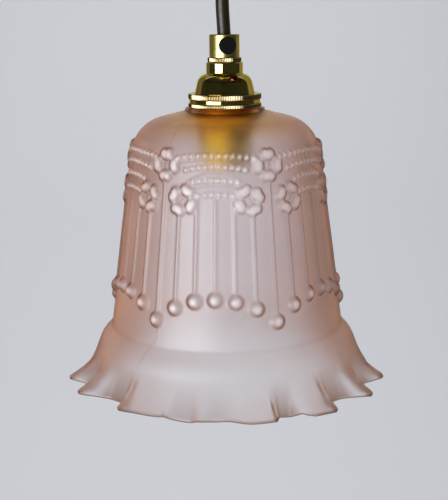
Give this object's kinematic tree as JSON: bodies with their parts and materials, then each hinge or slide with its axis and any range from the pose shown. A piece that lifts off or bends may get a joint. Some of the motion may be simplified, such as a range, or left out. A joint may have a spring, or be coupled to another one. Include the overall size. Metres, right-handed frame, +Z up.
{
  "type": "pendant ceiling light",
  "caption": "Bell-shaped satin pink glass shade with a crimped skirt and moulded bead drops, hung from a brass bayonet lampholder on a short flex and a ceiling rose.",
  "frame": {"origin": "centre of the ceiling face, midway between the strap's two fixing holes", "axes": "+Z up into the ceiling, X along the ceiling strap, -Y towards the viewer"},
  "size_m": [0.1654, 0.1654, 0.2769],
  "materials": {
    "polished_brass": "polished and lacquered",
    "plated_steel": "zinc plated",
    "white_nylon": "moulded",
    "black_nylon": "moulded",
    "flex_sheath": "glossy",
    "brown_core": "glossy",
    "blue_core": "glossy",
    "green_core": "glossy",
    "porcelain": "glazed",
    "spring_steel": "drawn wire",
    "pink_glass": "acid etched, satin",
    "fibre": "vulcanised fibre"
  },
  "bodies": {
    "rose": {"ceiling_strap": "plated_steel", "rose_cover": "polished_brass", "rose_nipple": "polished_brass", "rose_nipple_nut": "polished_brass", "rose_lock_ring": "polished_brass", "rose_cord_grip": "polished_brass", "rose_grip_screw": "black_nylon", "rose_connector_block": "white_nylon", "rose_connector_screws": "polished_brass", "strap_earth_post": "polished_brass", "rose_flex_tail": "flex_sheath", "rose_live_core": "brown_core", "rose_neutral_core": "blue_core", "rose_earth_core": "green_core"},
    "flex": {"flex": "flex_sheath"},
    "lampholder": {"holder_cord_grip": "polished_brass", "holder_grip_screw": "black_nylon", "holder_lock_ring": "polished_brass", "holder_nipple": "polished_brass", "holder_nipple_nut": "polished_brass", "holder_flex_tail": "flex_sheath", "holder_live_core": "brown_core", "holder_neutral_core": "blue_core", "holder_earth_core": "green_core", "holder_cap": "polished_brass", "cap_earth_screw": "polished_brass", "cap_ring": "polished_brass", "holder_barrel": "polished_brass", "upper_shade_ring": "polished_brass", "bayonet_sleeve": "polished_brass", "contact_block": "porcelain", "terminal_posts": "polished_brass", "terminal_screws": "polished_brass", "plunger_spring_left": "spring_steel", "plunger_spring_right": "spring_steel"},
    "shade": {"glass_shade": "pink_glass", "shade_washer": "fibre"},
    "shade_ring": {"lower_shade_ring": "polished_brass"},
    "plunger_left": {"contact_plunger_left": "polished_brass"},
    "plunger_right": {"contact_plunger_right": "polished_brass"}
  },
  "joints": [
    {"name": "flex_swing", "type": "hinge", "parent": "rose", "child": "flex", "pos_m": [0, 0, -0.0378], "axis": [0, 1, 0], "range_deg": [-30, 30]},
    {"name": "lampholder_swing", "type": "hinge", "parent": "flex", "child": "lampholder", "pos_m": [0, 0, -0.0978], "axis": [1, 0, 0], "range_deg": [-30, 30]},
    {"name": "shade_drop", "type": "slide", "parent": "lampholder", "child": "shade", "axis": [0, 0, -1], "range_m": [0, 0.01]},
    {"name": "shade_ring_turn", "type": "hinge", "parent": "shade", "child": "shade_ring", "pos_m": [0, 0, -0.1415], "axis": [0, 0, 1], "range_deg": [0, 1800]},
    {"name": "contact_plunger_left_press", "type": "slide", "parent": "lampholder", "child": "plunger_left", "axis": [0, 0, 1], "range_m": [0, 0.0045], "stiffness_N_per_m": 800, "springref_m": -0.002, "deforming": ["plunger_spring_left"]},
    {"name": "contact_plunger_right_press", "type": "slide", "parent": "lampholder", "child": "plunger_right", "axis": [0, 0, 1], "range_m": [0, 0.0045], "stiffness_N_per_m": 800, "springref_m": -0.002, "deforming": ["plunger_spring_right"]}
  ],
  "couplings": [
    {"joint": "shade_ring_turn", "follows": "shade_drop", "rad_per_m": 3141.6}
  ]
}
